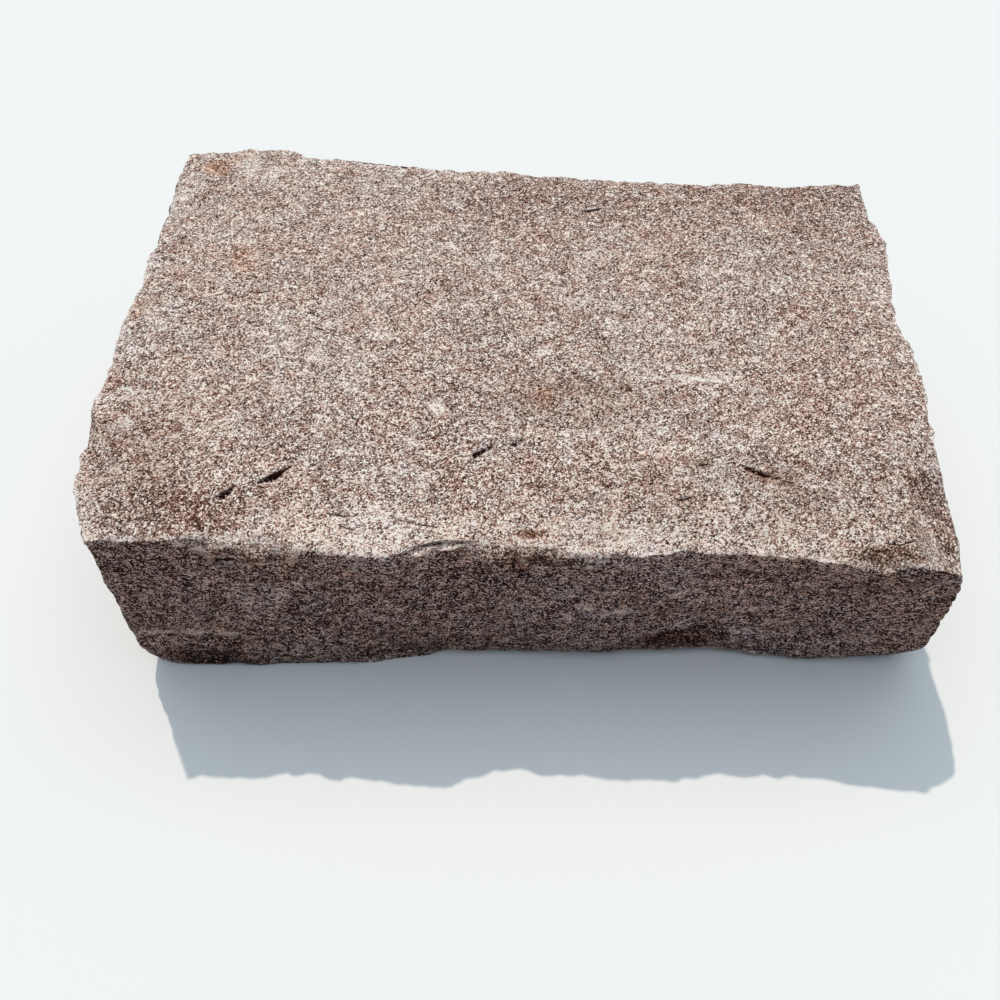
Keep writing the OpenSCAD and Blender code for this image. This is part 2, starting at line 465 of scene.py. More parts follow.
def strike_at_random(block, top, bed, cut):
    """Strikes off the random chips round the edge of the top and the bed."""
    for _ in range(EDGE_CHIPS):
        half = mostly_short(*EDGE_HALF_LENGTH)
        depth = half * random.uniform(*EDGE_DEPTH)
        where = random.randrange(block.count)
        top.chip(block.points, cut, where, half, depth, random.uniform(*EDGE_LEAN))
    for _ in range(BED_CHIPS):
        half = mostly_short(*BED_HALF_LENGTH)
        depth = half * random.uniform(*BED_DEPTH)
        where = random.randrange(block.count)
        if bed.line[where, 1] > -CORE_Y:
            bed.chip(block.points, cut, where, half, depth, random.uniform(*BED_LEAN))


def hollow_sides(block, bed, normals):
    """Cuts the broad hollows in the back and the ends."""
    for _ in range(SIDE_SHELLS):
        where = random.randrange(block.count)
        at = block.rows[random.randint(*SHELL_ROWS)] + where
        facing = normals[at] + (0, 0, random.uniform(-SHELL_TILT, SHELL_TILT))
        length = random.uniform(*SHELL_LENGTH)
        depth = length * random.uniform(*SHELL_DEPTH)
        if bed.line[where, 1] > -CORE_Y / 2:
            scoop(block.points, block.points[at].copy(), facing, length, depth)


def chip_edges(block, normals):
    """Cuts all the chips. Returns how deep small ones and the facet cut each point."""
    points, cut, facet = block.points, *np.zeros((2, len(block.points)))
    top = Edge(block, SIDE_ROWS, TOP_CHIP_ROWS)
    bed = Edge(block, 0, BED_CHIP_ROWS)
    for hollow in HOLLOWS + corner_chips(block, top, normals):
        scoop(points, *hollow)
    x, y, *shape = FACET
    top.chip(points, facet, top.nearest(x, y), *shape)
    strike_front(top, points, cut, FRONT_CHIPS)
    strike_front(bed, points, cut, FRONT_BED_CHIPS)
    strike_at_random(block, top, bed, cut)
    hollow_sides(block, bed, normals)
    return cut, facet


# The ledge at the back of the flake scar, an arch in plan from left to right:
# x, y, height of the step down towards the front, depth of the slit under it
LEDGE = np.array([
    (-106, -90, 0, 0), (-98.6, -81, 0, 0), (-97.2, -79.2, 1.2, 1.3),
    (-94.8, -76.4, 1.1, 1.2), (-93, -74.8, 0, 0), (-90, -75.5, 0, 0),
    (-87, -74.8, 0.1, 0.1), (-85.2, -73.2, 0.9, 0.9), (-81.5, -70, 2.3, 2.1),
    (-78.8, -68.4, 0.9, 0.8), (-76.5, -67.2, 0.25, 0.2), (-72, -67.6, 0.2, 0.1),
    (-69, -68.5, 0, 0),
    (-40, -66, 0, 0), (-29, -63.8, 0.3, 0.1), (-25, -62.5, 0.1, 0),
    (-23, -62, 0, 0), (-19.5, -61.8, 0, 0), (-18, -61, 1.1, 1),
    (-12.5, -57.2, 1.1, 0.8), (-11, -56.5, 0, 0), (-7.5, -57.8, 0, 0),
    (-6, -57, 1.1, 1), (-2.5, -54.3, 1.1, 0.7), (-1, -53.5, 0, 0),
    (24, -45, 0, 0), (51, -57, 0.1, 0), (66.5, -63.7, 0.2, 0),
    (69.5, -64.8, 1.1, 0.8), (75, -67.5, 1.3, 0.9), (78.5, -69.2, 0.6, 0.3),
    (84, -72, 0.35, 0.1), (91, -76, 0.3, 0.1), (99, -82, 0, 0),
])
# Other small cracks: the points each runs along, its depth and its width.
# On the top the points are x and y, on the front face x and z.
TOP_SLITS = [
    ([(23, 63.5), (27, 64), (31, 65.5)], 0.8, 1.3),
    ([(-102, 14), (-98, 13.5), (-94, 14.5)], 0.8, 1.1),
    ([(-80, 3.5), (-77, 3.5)], 0.5, 0.9), ([(-76, -4), (-73, -5)], 0.5, 0.9),
    ([(11, -44), (16, -43.5)], 0.6, 0.8), ([(36, -45), (41, -44.5)], 0.6, 0.8),
    ([(46, -78), (51, -77)], 0.5, 0.7), ([(-64, -85), (-57, -86)], 0.5, 0.7),
    ([(-60, -89), (-55, -91)], 0.5, 0.7), ([(-43, -86), (-36, -88), (-29, -89)], 0.5, 0.6),
    ([(54, -65), (58, -64)], 0.5, 0.8), ([(108, -94), (113, -95), (118, -93)], 0.5, 0.7),
]
FRONT_SLITS = [
    ([(-101, 78.6), (-97, 80), (-93, 80.2), (-90, 79), (-84, 78)], 1.2, 0.6),
    ([(-36, 84.2), (-32, 85.2), (-29, 85), (-26, 84.4), (-21, 84.6)], 1, 0.35),
    ([(-14, 77), (-8, 73.5), (-4, 69), (1, 64)], 2, 1.8),
    ([(-20, 79), (-12, 78), (-4, 79.5)], 0.9, 0.8), ([(6, 78), (14, 79.5), (20, 78.5)], 0.9, 0.8),
    ([(22, 36), (34, 35), (45, 34.5)], 1.2, 1.2), ([(118, 80), (124, 80.5), (129, 79)], 0.6, 0.8),
    ([(44, 17), (49, 21.5), (55, 24), (63, 24.5), (70, 22), (76, 21.5), (84, 18)], 1.6, 1.5),
]
# Pale scratches on the top, drawn in the same way as the cracks
SCRATCHES = [
    ([(47, -26), (53, -25.5), (60, -27.5), (69, -28.5)], 0, 1.2),
    ([(-140, -36), (-136, -35), (-132, -38)], 0, 1.3),
]
DRAWN_FROM = 3.5  # how far from a crack the mesh is drawn in to it
DRAWN_TO = 0.3  # share of its distance that a point right by it keeps
SLIT_ENDS = 0.3  # how wide a slit is at its ends, as a share of its width
SLIT_REACH = 1.4  # how far out a slit's walls reach, in its half widths
LEDGE_WOBBLE, WOBBLE_NOISE = 0.35, (5, 3, 4.0)  # how far and how the ledge wobbles
STEP_STARTS, STEP_RUN = 0.15, 0.5  # the step falls from behind the ledge, over so far
STEP_FADE = 16  # how far in front of the ledge its step has faded out
SLIT_AT, SLIT_HALF = 0.5, 0.8  # how far in front the slit is, its half width
# The painted shadow of the ledge: its half width, how much more for each
# millimetre of step, how far in front it is in half widths, and the step from
# which it is at full strength
SHADOW_HALF, SHADOW_MORE, SHADOW_AT, SHADOW_FROM = 0.2, 0.22, 0.7, 0.25
SOFT = 1.2  # a painted line's value runs from 0 to 1 over twice this


def drawn_in(gap):
    """Distances to a crack after the mesh is drawn in to it."""
    return gap * (DRAWN_TO + (1 - DRAWN_TO) * np.abs(gap) / DRAWN_FROM)


def painted_line(within):
    """0.5 on a line's outline and more inside it, from how far inside it is."""
    return np.clip(0.5 + within / SOFT / 2, 0, 1)


def cut_ledge(points, on_top):
    """Steps the top down in front of the ledge. Returns its painted shadow along
    the slit under it: 0.5 on its outline, more inside it."""
    x = points[:, 0]
    line, step, deep = (np.interp(x, LEDGE[:, 0], LEDGE[:, k]) for k in (1, 2, 3))
    line = line + LEDGE_WOBBLE * noise_field(points * (1, 0, 0), *WOBBLE_NOISE)
    behind = points[:, 1] - line
    near = on_top & (np.abs(behind) < DRAWN_FROM)
    near &= (x > LEDGE[0, 0]) & (x < LEDGE[-1, 0])
    drawn = drawn_in(behind)
    points[near, 1] = (line + drawn)[near]
    behind = np.where(near, drawn, behind)
    fade = smooth(1 + behind / STEP_FADE)
    face = smooth((-behind + STEP_STARTS) / STEP_RUN)
    points[on_top, 2] -= (step * face * fade)[on_top]
    into = np.clip(1 - np.abs(behind + SLIT_AT) / SLIT_HALF, 0, 1) * np.clip(deep, 0, 1)
    points[on_top, 2] -= (deep * into)[on_top]
    half = SHADOW_HALF + SHADOW_MORE * step
    inside = painted_line(half - np.abs(behind + SHADOW_AT * half))
    return np.where(on_top, inside * np.clip(step / SHADOW_FROM, 0, 1), 0)


def slit(points, normals, part, axes, path, depth, width):
    """Opens a crack along a path over part of the surface, after drawing the
    mesh in towards it. Returns where it is: 0.5 on its outline, more inside."""
    flat = points[:, axes]
    place, gap, share = nearest_on_path(flat, path)
    near = part & (gap < DRAWN_FROM)
    place, gap, share = place[near], gap[near], share[near]
    drawn = drawn_in(gap)
    closer = drawn / np.maximum(gap, NEARLY_ZERO)
    flat[near] = place + (flat[near] - place) * closer[:, None]
    points[:, axes] = flat
    # the slit is widest at the middle of its path
    widest = np.sqrt(4 * share * (1 - share))
    half = width / 2 * (SLIT_ENDS + (1 - SLIT_ENDS) * widest)
    into = np.clip(SLIT_REACH - drawn / half, 0, 1)
    points[near] -= normals[near] * (into * depth)[:, None]
    inside = np.zeros(len(points))
    inside[near] = painted_line(half - drawn)
    return inside


def slits(points, normals, part, axes, cracks):
    """Opens several cracks. Returns where they are."""
    inside = np.zeros(len(points))
    for crack_shade in cracks:
        inside = np.maximum(inside, slit(points, normals, part, axes, *crack_shade))
    return inside


# The roughness of the faces, from swells to grit. Each is the size, octaves and
# seed of its noise, its height on the top, and how much higher it is elsewhere.
ROUGHNESS = [(34, 3, 1.0, 0.3, 0.9), (8, 3, 2.0, 0.14, 0.4), (2.4, 2, 3.0, 0.13, 0.12)]
# The edge of the top is rougher: how its noise is, its height and its reach
EDGE_NOISE, EDGE_ROUGHNESS, EDGE_REACH = (5, 3, 5.0), 0.9, 3
BED_ROUGHNESS = 0.5  # how deep the small hollows in the bed are


def roughen(points, triangles, on_top, on_bed, edge_gap):
    """Moves the surface in and out by the roughness of a split stone."""
    layers = [noise_field(points, *kind[:3]) for kind in ROUGHNESS]
    rise = 0
    for layer, (*_, height, more) in zip(layers, ROUGHNESS):
        rise = rise + layer * (height + more * (1 - on_top))
    at_edge = np.exp(-(edge_gap / EDGE_REACH) ** 2)
    rise = rise + noise_field(points, *EDGE_NOISE) * EDGE_ROUGHNESS * at_edge
    normals = surface_normals(points, triangles)
    points += normals * (rise * (1 - on_bed))[:, None]
    lumps, grit = layers[1:]
    points[:, 2] += on_bed * BED_ROUGHNESS * np.clip(lumps + grit, 0, 1)
    points[:, 2] = np.maximum(points[:, 2], 0)


def sharpness(points, triangles):
    """How sharply the surface turns at each point: above 0 on ridges, below 0
    in creases, as turn per millimetre."""
    normals = surface_normals(points, triangles)
    a = triangles.ravel()
    b = np.roll(triangles, -1, axis=1).ravel()
    way = points[b] - points[a]
    turn = ((normals[b] - normals[a]) * way).sum(axis=1) / (way * way).sum(axis=1)
    count = np.bincount(a, minlength=len(points))
    return np.bincount(a, turn, len(points)) / np.maximum(count, 1)


# Marks on the surface: where each is, its half sizes along X, Y and Z, and how
# strong it is
RUST = [
    ((-126, 88, 99), (8, 6, 9), 0.9), ((-118, 95, 98), (6, 4, 9), 0.4),
    ((-106, 31, 96), (6, 8, 9), 0.7), ((5, -35, 90), (3, 4, 9), 0.8),
    ((-141, 3, 95), (4, 6, 9), 0.6), ((-1, -91, 86), (5, 2, 4), 0.6),
    ((-6, -96, 71), (6, 9, 5), 0.7), ((56, -86, 18), (16, 9, 7), 0.6),
]
STAIN = [
    ((15, -38, 89), (34, 14, 9), 0.6), ((-118, -90, 8), (20, 14, 11), 1),
    ((-30, -87, 8), (30, 12, 9), 0.7), ((52, -86, 14), (22, 12, 12), 1),
    ((-90, -97, 82), (18, 5, 6), 0.6), ((4, -97, 80), (22, 5, 5), 0.6),
    ((-120, -94, 50), (30, 20, 44), 0.45), ((116, -97, 72), (22, 16, 14), 0.6),
    ((-126, -66, 90), (20, 26, 9), 0.5), ((70, -78, 87), (80, 18, 9), 0.35),
    ((108, -98, 84), (16, 4, 5), 1), ((20, -92, 86), (12, 5, 5), 0.4),
    ((78, -69, 88), (9, 2, 6), 0.8), ((56, -64, 88), (6, 2.5, 6), 0.9),
    ((-1, -91, 86), (5, 2, 4), 1),
]
SCUFF = [
    ((-31, -41, 91), (3, 4, 9), 1), ((-12, 36, 95), (4, 3, 9), 0.5),
    ((46, 28, 93), (3, 3, 9), 0.5), ((6, -15, 91), (3, 3, 9), 0.6),
    ((58, -27, 90), (12, 1.5, 5), 0.6), ((-134, -38, 93), (5, 3, 9), 0.4),
    ((-134, -51, 92), (4, 3, 9), 0.6), ((-52, -8, 92), (3, 3, 9), 0.4),
    ((19, -92, 44), (4, 9, 2.5), 1), ((33, -92, 45), (4, 9, 2.5), 1),
    ((77, -87, 22), (5, 9, 3), 1), ((49, -92, 54), (3, 9, 2), 0.9),
    ((77, -90, 41), (3, 9, 2), 0.9), ((17, -96, 78), (5, 9, 3), 1),
    ((-132, -90, 27), (6, 9, 2), 0.8), ((-118, -91, 29), (8, 9, 2), 0.9),
    ((-105, -91, 28), (5, 9, 2), 0.8), ((-103, -95, 83), (3, 4, 2), 0.7),
    ((-107, -95, 86), (3, 4, 2), 0.7), ((-112, 90, 98), (5, 10, 9), 0.4),
    ((-104, 84, 98), (4, 9, 9), 0.35), ((-136, 70, 98), (3, 6, 9), 0.4),
    ((46, -84, 3), (10, 6, 2.5), 0.7), ((66, -82, 5), (8, 6, 2.5), 0.8),
    ((90, -84, 4), (12, 6, 2.5), 0.5), ((-20, -86, 3), (14, 6, 2.5), 0.5),
]
# Painted shade: darker where hollows, undercut lips, chipped facets and corners turned away from
# the sun would be shaded, and on a few darker patches of stone
PAINTED_SHADE = [
    ((-114, -86, 90), (30, 13, 9), 0.5), ((124, 60, 93), (26, 34, 9), 0.2),
    ((112, -60, 87), (34, 40, 9), 0.15), ((130, -84, 83), (8, 15, 9), 0.2),
    ((45, 82, 95), (100, 28, 12), 0.35), ((-116, -90, 7), (13, 9, 10), 0.6),
    ((-1, -91, 86), (6, 1.8, 4), 0.6), ((-78, -62, 90), (9, 5, 9), 0.25),
    ((-88, -96, 84), (16, 4, 5), 0.3), ((4, -96, 80), (22, 5, 5), 0.7),
    ((-140, -48, 92), (8, 26, 9), 0.2), ((108, -99, 83), (16, 5, 4), 0.6),
    ((56, -86, 17), (16, 9, 8), 0.6), ((112, -96, 45), (40, 14, 40), 0.06),
    ((-92, -96, 45), (30, 14, 40), 0.05), ((-130, 84, 98), (18, 16, 9), 0.12),
]
# Paler stone: crushed and bruised patches by the front edge, and a painted highlight along the
# rim of the right facet
PALE = [
    ((-55, -90, 87), (34, 12, 7), 1), ((-84, -88, 88), (12, 4, 5), 1),
    ((-90, -97, 84), (18, 5, 5), 0.4), ((0, -92, 86), (50, 10, 7), 0.8),
    ((70, -92, 85), (46, 9, 7), 0.6), ((128, -64, 85), (6, 3, 6), 1),
    ((118, -78, 85), (2.5, 9, 6), 0.8), ((128, -96, 83), (12, 6, 6), 0.6),
]
# Where the stone has split along thin layers, listed alike
LAYERED = [
    ((-86, -96, 83), (18, 6, 6), 1), ((-8, -96, 81), (34, 6, 6), 0.8),
]
SPOT_REACH = 1.3  # where a mark ends, in its half sizes
SHARP_ANGLE = 38  # edges that turn by more than this stay crisp, in degrees
EDGE_EVERY = 4  # the edge is a line through every so many of its points
# A point is on the top, the bed or the front by how far its normal points along
# Z, -Z or -Y, and worn by how far it still points up after the chips: where each
# begins, and how much further it is fully so
TOP_FROM, BED_FROM, FRONT_FROM, WORN_FROM = (0.4, 0.4), (0.7, 0.25), (0.5, 0.3), (0.3, 0.4)
RIDGE_FROM = (0.1, 0.3)  # the same for a ridge's turn per millimetre
CRUSHED_FROM, FACET_FROM = (0, 1.5), (0, 0.5)  # the same for how deep a cut is
FACET_SHADE = 0.6  # how strongly the facet is darkened by painted shade
LAYERED_WORN = 0.6  # how far layered stone takes the worn top's colour, out of the painted shade
BRUISE_REACH = 7  # the bruised edge fades over about this
# The pale line along the edge: its width, its strength left and right of an x
ARRIS_WIDTH, ARRIS_LEFT, ARRIS_RIGHT, ARRIS_TURN_X = 0.8, 1.0, 0.6, -100


def spots(points, marks):
    """How strongly soft-edged marks cover each point, 0 to 1."""
    out = np.zeros(len(points))
    for centre, half, strength in marks:
        gap = norm((points - centre) / half, axis=1)
        out += strength * smooth(SPOT_REACH - gap)
    return np.clip(out, 0, 1)


def triangulate(faces):
    """The faces as triangles. A face of four corners gives two."""
    return np.array([(face[0], b, c) for face in faces for b, c in zip(face[1:], face[2:])])


def carve(block, triangles):
    """Cuts and roughens the surface. Returns how much each point is on the top
    and worn, its distance to the edge, and what has cut it."""
    points = block.points
    normals = surface_normals(points, triangles)
    on_top = rising(normals[:, 2], *TOP_FROM)
    on_bed = rising(-normals[:, 2], *BED_FROM)
    on_front = rising(-normals[:, 1], *FRONT_FROM)
    top, front = on_top > 0.5, on_front > 0.5
    edge = points[block.rows[SIDE_ROWS] + np.arange(0, block.count, EDGE_EVERY)]

    crack_shade = cut_ledge(points, top)
    raise_lips(points, on_front)
    cut, facet = chip_edges(block, normals)
    normals = surface_normals(points, triangles)
    worn = rising(normals[:, 2], *WORN_FROM)
    crack_shade = np.maximum(crack_shade, slits(points, normals, top, (0, 1), TOP_SLITS))
    crack_shade = np.maximum(crack_shade, slits(points, normals, front, (0, 2), FRONT_SLITS))
    scratch = slits(points, normals, top, (0, 1), SCRATCHES)
    edge_gap = nearest_on_path(points, np.vstack([edge, edge[:1]]))[1]
    roughen(points, triangles, on_top, on_bed, edge_gap)
    return on_top, worn, edge_gap, crack_shade, scratch, cut, facet


def paint(points, triangles, on_top, worn, edge_gap, crack_shade, scratch, cut, facet):
    """What the material reads at each point, by name, each from 0 to 1."""
    arris = smooth(2 - edge_gap / ARRIS_WIDTH) * smooth(on_top * 2)
    arris *= np.where(points[:, 0] < ARRIS_TURN_X, ARRIS_LEFT, ARRIS_RIGHT)
    layered = spots(points, LAYERED)
    facet_shade = FACET_SHADE * rising(facet, *FACET_FROM)
    return {
        "crack_shade": crack_shade, "scratch": scratch,
        "ridge": rising(sharpness(points, triangles), *RIDGE_FROM),
        # split faces: deeper bumps, and painted shade in their darker colours
        "split": (1 - worn) * (1 - LAYERED_WORN * layered),
        "crushed": rising(cut, *CRUSHED_FROM),
        "bruise": np.exp(-edge_gap / BRUISE_REACH),
        "rust": spots(points, RUST), "stain": spots(points, STAIN),
        "scuff": spots(points, SCUFF),
        # painted shade: the listed marks and the facet
        "painted_shade": np.maximum(spots(points, PAINTED_SHADE), facet_shade),
        "pale": spots(points, PALE), "arris": arris, "layered": layered,
    }


def make_block():
    block = BlockMesh()
    triangles = triangulate(block.faces)
    carved = carve(block, triangles)
    mesh = bpy.data.meshes.new("granite_block")
    mesh.from_pydata((block.points * MM).tolist(), [], block.faces)
    mesh.shade_smooth()
    mesh.set_sharp_from_angle(angle=math.radians(SHARP_ANGLE))
    for name, values in paint(block.points, triangles, *carved).items():
        layer = mesh.attributes.new(name, "FLOAT", "POINT")
        layer.data.foreach_set("value", np.asarray(values, np.float32))
    mesh.materials.append(granite())
    stone = new_object("granite_block", mesh)
    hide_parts(NODE)
    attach(stone, "root")


# ---------- the material ----------
# Sockets of the Mix node, by number: the factor, the two colours and the result
FACTOR, COLOUR_A, COLOUR_B, MIXED = 0, 6, 7, 2
PATCH_NOISE = (3.0, 0.62)  # detail and roughness of the noise that breaks up marks
# How each painted mark is broken up: the size of its patches, and the noise
# from which a patch starts and from which it is full
PATCHES = {
    "bruise": (9, 0.25, 0.6), "pale": (12, 0.25, 0.6), "crushed": (2.5, 0.4, 0.6),
    "ridge": (3, 0.35, 0.55), "arris": (2.2, 0.36, 0.52), "rust": (3.5, 0.3, 0.62),
    "stain": (11, 0.2, 0.6), "scuff": (2.0, 0.42, 0.56),
}
LIGHT_SCUFFS = (2.0, 0.35, 0.55)  # the same, where scuffs make grains lighter


class Nodes:
    """Short calls for building the node tree of a material or of the world."""

    def __init__(self, owner):
        owner.use_nodes = True
        self.owner, self.tree = owner, owner.node_tree
        self.shader = self.tree.nodes.get("Principled BSDF")

    def add(self, kind, inputs=(), **settings):
        """A node with its settings and inputs, each a value or a socket."""
        made = self.tree.nodes.new("ShaderNode" + kind)
        for key, value in settings.items():
            setattr(made, key, value)
        for key, value in dict(inputs).items():
            self.join(value, made.inputs[key])
        return made

    def join(self, value, socket):
        if isinstance(value, bpy.types.NodeSocket):
            self.tree.links.new(value, socket)
        else:
            socket.default_value = value

    def math(self, operation, a, b, clamp=False):
        made = self.add("Math", {0: a, 1: b}, operation=operation, use_clamp=clamp)
        return made.outputs[0]

    def total(self, *terms):
        """The sum of products, each a (socket, weight) pair."""
        out = None
        for value, weight in terms:
            part = self.math("MULTIPLY", value, weight)
            out = part if out is None else self.math("ADD", out, part)
        return out

    def vector(self, operation, a, b):
        return self.add("VectorMath", {0: a, 1: b}, operation=operation).outputs[0]

    def mix(self, factor, a, b, blend="MIX"):
        made = self.add("Mix", data_type="RGBA", blend_type=blend)
        for socket, value in ((FACTOR, factor), (COLOUR_A, a), (COLOUR_B, b)):
            self.join(value, made.inputs[socket])
        return made.outputs[MIXED]

    def ramp(self, value, stops):
        """A colour ramp from a list of (place, colour or grey)."""
        made = self.add("ValToRGB", {0: value})
        elements = made.color_ramp.elements
        while len(elements) < len(stops):
            elements.new(0.5)
        for element, (place, colour) in zip(elements, stops):
            element.position = place
            if isinstance(colour, float):
                colour = (colour, colour, colour)
            element.color = (*colour, 1)
        return made.outputs[0]

    def noise(self, vector, size, detail=2.0, rough=0.5):
        """Noise whose lumps are about size millimetres across."""
        inputs = {"Vector": vector, "Scale": 1 / (size * MM), "Detail": detail}
        return self.add("TexNoise", inputs | {"Roughness": rough}).outputs["Fac"]

    def cells(self, vector, size):
        """Cells about size millimetres across: their colours and distances."""
        made = self.add("TexVoronoi", {"Vector": vector, "Scale": 1 / (size * MM)})
        parts = self.add("SeparateColor", {0: made.outputs["Color"]})
        return (*parts.outputs, made.outputs["Distance"])

    def painted(self, name):
        return self.add("Attribute", attribute_name=name).outputs["Fac"]

    def patchy(self, name, place, patches=None):
        """A painted mark broken up by noise."""
        size, low, high = patches or PATCHES[name]
        patch = self.ramp(self.noise(place, size, *PATCH_NOISE), [(low, 0.0), (high, 1.0)])
        return self.math("MULTIPLY", self.painted(name), patch)


# Grain colours from the darkest grains to the lightest
WARM_GRAINS = [
    (0.0, (0.056, 0.022, 0.014)), (0.25, (0.178, 0.088, 0.065)),
    (0.5, (0.415, 0.247, 0.194)), (0.75, (0.775, 0.522, 0.428)),
    (1.0, (1.0, 0.895, 0.81)),
]
GREY_GRAINS = [
    (0.0, (0.047, 0.024, 0.019)), (0.25, (0.155, 0.097, 0.078)),
    (0.5, (0.39, 0.274, 0.235)), (0.75, (0.76, 0.595, 0.52)),
    (1.0, (1.0, 0.925, 0.88)),
]
# Painted shade: the split faces, which stand upright, take this much darker copy of the grain
# colours, so that they look shaded beside the top
SHADED_SPLIT_GRAINS = [
    (0.0, (0.003, 0.001, 0.001)), (0.25, (0.017, 0.0061, 0.0032)),
    (0.5, (0.0468, 0.0212, 0.0175)), (0.75, (0.155, 0.0955, 0.0935)),
    (1.0, (1.0, 0.88, 0.88)),
]
# Patches of the stone run from warm to grey. Which one a place is comes from
# its coarse grain, by this weight, and from noises, each a size and a weight.
OWN_HUE, HUE_NOISES = 0.08, [(7, 0.7), (40, 0.5)]
WARM_TO_GREY = [(0.52, 0.0), (0.78, 1.0)]
# The tints of warm and of grey patches of a split face, in its painted shade
SHADED_SPLIT_HUES = [(0.52, (1.0, 0.92, 0.85)), (0.78, (0.92, 0.95, 1.0))]
# The tints of single grains on a split face, in its painted shade
SHADED_SPLIT_TINTS = [(0.0, (1.0, 0.84, 0.76)), (0.5, (1.0, 0.96, 0.92)), (1.0, (0.88, 0.98, 0.98))]
FINE_SIZE, COARSE_SIZE = 0.46, 1.4
# How much finer the grains are along X, Y and Z than their size says
GRAIN_SQUEEZE = (1.0, 1.12, 1.25)
# Grains have ragged outlines: how far they wobble, and wobbles per metre
WOBBLE, WOBBLES = 0.7, 1200.0
# A few grains, by their own random value, are white feldspar or black mica
FLAKES = [(0.08, 1.0), (0.11, 0.5), (0.88, 0.5), (0.91, 0.0)]
# It also lies in light clots, one coarse cell each, and in clumps
CLOTS = [(0.7, 0.0), (0.9, 1.0)]
CLUMP_NOISE, CLUMPS = (5, 3.0, 0.6), [(0.45, 0.0), (0.8, 1.0)]
CLOUD_NOISE, SWELL_SIZE = (21, 3.0, 0.55), 70  # broader noises
# How much each thing lightens a grain, and the sum that gives 0.5
LIGHTER = {
    "fine": 0.9, "finer": 0.9, "flakes": 0.9, "clots": 0.35, "clumps": 0.35,
    "split clumps": 0.15, "clouds": 0.3, "swells": 0.2, "bruise": 0.1, "pale": 0.16,
    "crushed": 0.16, "painted_shade": -0.5, "scuff": 0.7,
}
MIDDLE_SUM = 1.665
# Thin layers, drawn out along X: what X, Y and Z are multiplied by, the size of
# their noise, and its strength
LAYER_SQUEEZE, LAYER_SIZE, LAYER_STRENGTH = (0.12, 1, 1), 1.3, 2.6
CRUSHED = (0.92, 0.84, 0.77, 1)
SCUFFED = (0.97, 0.92, 0.85, 1)
RUSTED = (0.95, 0.62, 0.40, 1)
STAINED = (0.60, 0.52, 0.46, 1)
# Painted shade in cracks and under the ledge's step
CRACK_SHADE = (0.040, 0.013, 0.009, 1)
CRUSHED_SHARE, SCUFFED_SHARE = 0.16, 0.5  # how far these colours cover the grains
CRUSHED_LOST = 0.9  # how much less crushed edges show on split faces, in their painted shade
# Scratches and cracks: the size and weight of the noise that makes them ragged,
# and how far they cover the stone from which painted value
LINE_SIZE, LINE_RAGGED = 1.5, 0.12
SCRATCH_LINE, CRACK_LINE = [(0.44, 0.0), (0.54, 0.7)], [(0.43, 0.0), (0.50, 1.0)]
ROUGH = [(0.0, 0.62), (1.0, 0.85)]  # of dark grains and of light ones
SHINE = 0.04  # a rough stone reflects little
# Grains stand proud of each other: how much the distance from a grain's middle,
# fine and coarse grains and lumps give, how deep all that is, how much deeper
# on a split face, and the strength of the bump
GAP_PROUD, FINE_PROUD, COARSE_PROUD, LUMPS_PROUD = -0.8, 0.5, 0.5, 1.3
LUMP_NOISE = (2.0, 3.0)
PROUD, SPLIT_PROUD, BUMP_STRENGTH = 0.35, 0.5, 0.8


def ragged_space(n, place):
    """Places moved about a little, so that cells in them have ragged outlines."""
    wobble = n.add("TexNoise", {"Vector": place, "Scale": WOBBLES, "Detail": 1.0})
    centred = n.vector("SUBTRACT", wobble.outputs["Color"], (0.5, 0.5, 0.5))
    moved = n.vector("MULTIPLY", centred, [WOBBLE * MM] * 3)
    return n.vector("MULTIPLY", n.vector("ADD", place, moved), GRAIN_SQUEEZE)


def crushed_marks(n, place):
    """Where small chips, ridges and the edge of the top are crushed."""
    crushed, *others = (n.patchy(name, place) for name in ("crushed", "ridge", "arris"))
    for other in others:
        crushed = n.math("MAXIMUM", crushed, other)
    kept = n.math("SUBTRACT", 1.0, n.math("MULTIPLY", n.painted("split"), CRUSHED_LOST))
    return n.math("MULTIPLY", crushed, kept)


def grain_light(n, place, fine, finer, flake, coarse, crushed):
    """How light each grain is, 0 to 1, from its own tone and where it lies, painted shade
    included.
    """
    clumps = n.ramp(n.noise(place, *CLUMP_NOISE), CLUMPS)
    parts = {
        "fine": fine, "finer": finer,
        "flakes": n.ramp(flake, FLAKES), "clots": n.ramp(coarse, CLOTS),
        "clumps": clumps, "split clumps": n.math("MULTIPLY", clumps, n.painted("split")),
        "clouds": n.noise(place, *CLOUD_NOISE), "swells": n.noise(place, SWELL_SIZE),
        "bruise": n.patchy("bruise", place), "pale": n.patchy("pale", place),
        "crushed": crushed, "painted_shade": n.painted("painted_shade"),
        "scuff": n.patchy("scuff", place, LIGHT_SCUFFS),
    }
    light = n.total(*((part, LIGHTER[name]) for name, part in parts.items()))
    # thin layers stand edge on where the stone has split along them
    flat = n.vector("MULTIPLY", place, LAYER_SQUEEZE)
    streak = n.math("SUBTRACT", n.noise(flat, LAYER_SIZE), 0.5)
    streak = n.math("MULTIPLY", n.math("MULTIPLY", streak, n.painted("layered")), LAYER_STRENGTH)
    light = n.math("ADD", light, streak)
    return n.math("ADD", light, 0.5 - MIDDLE_SUM, clamp=True)


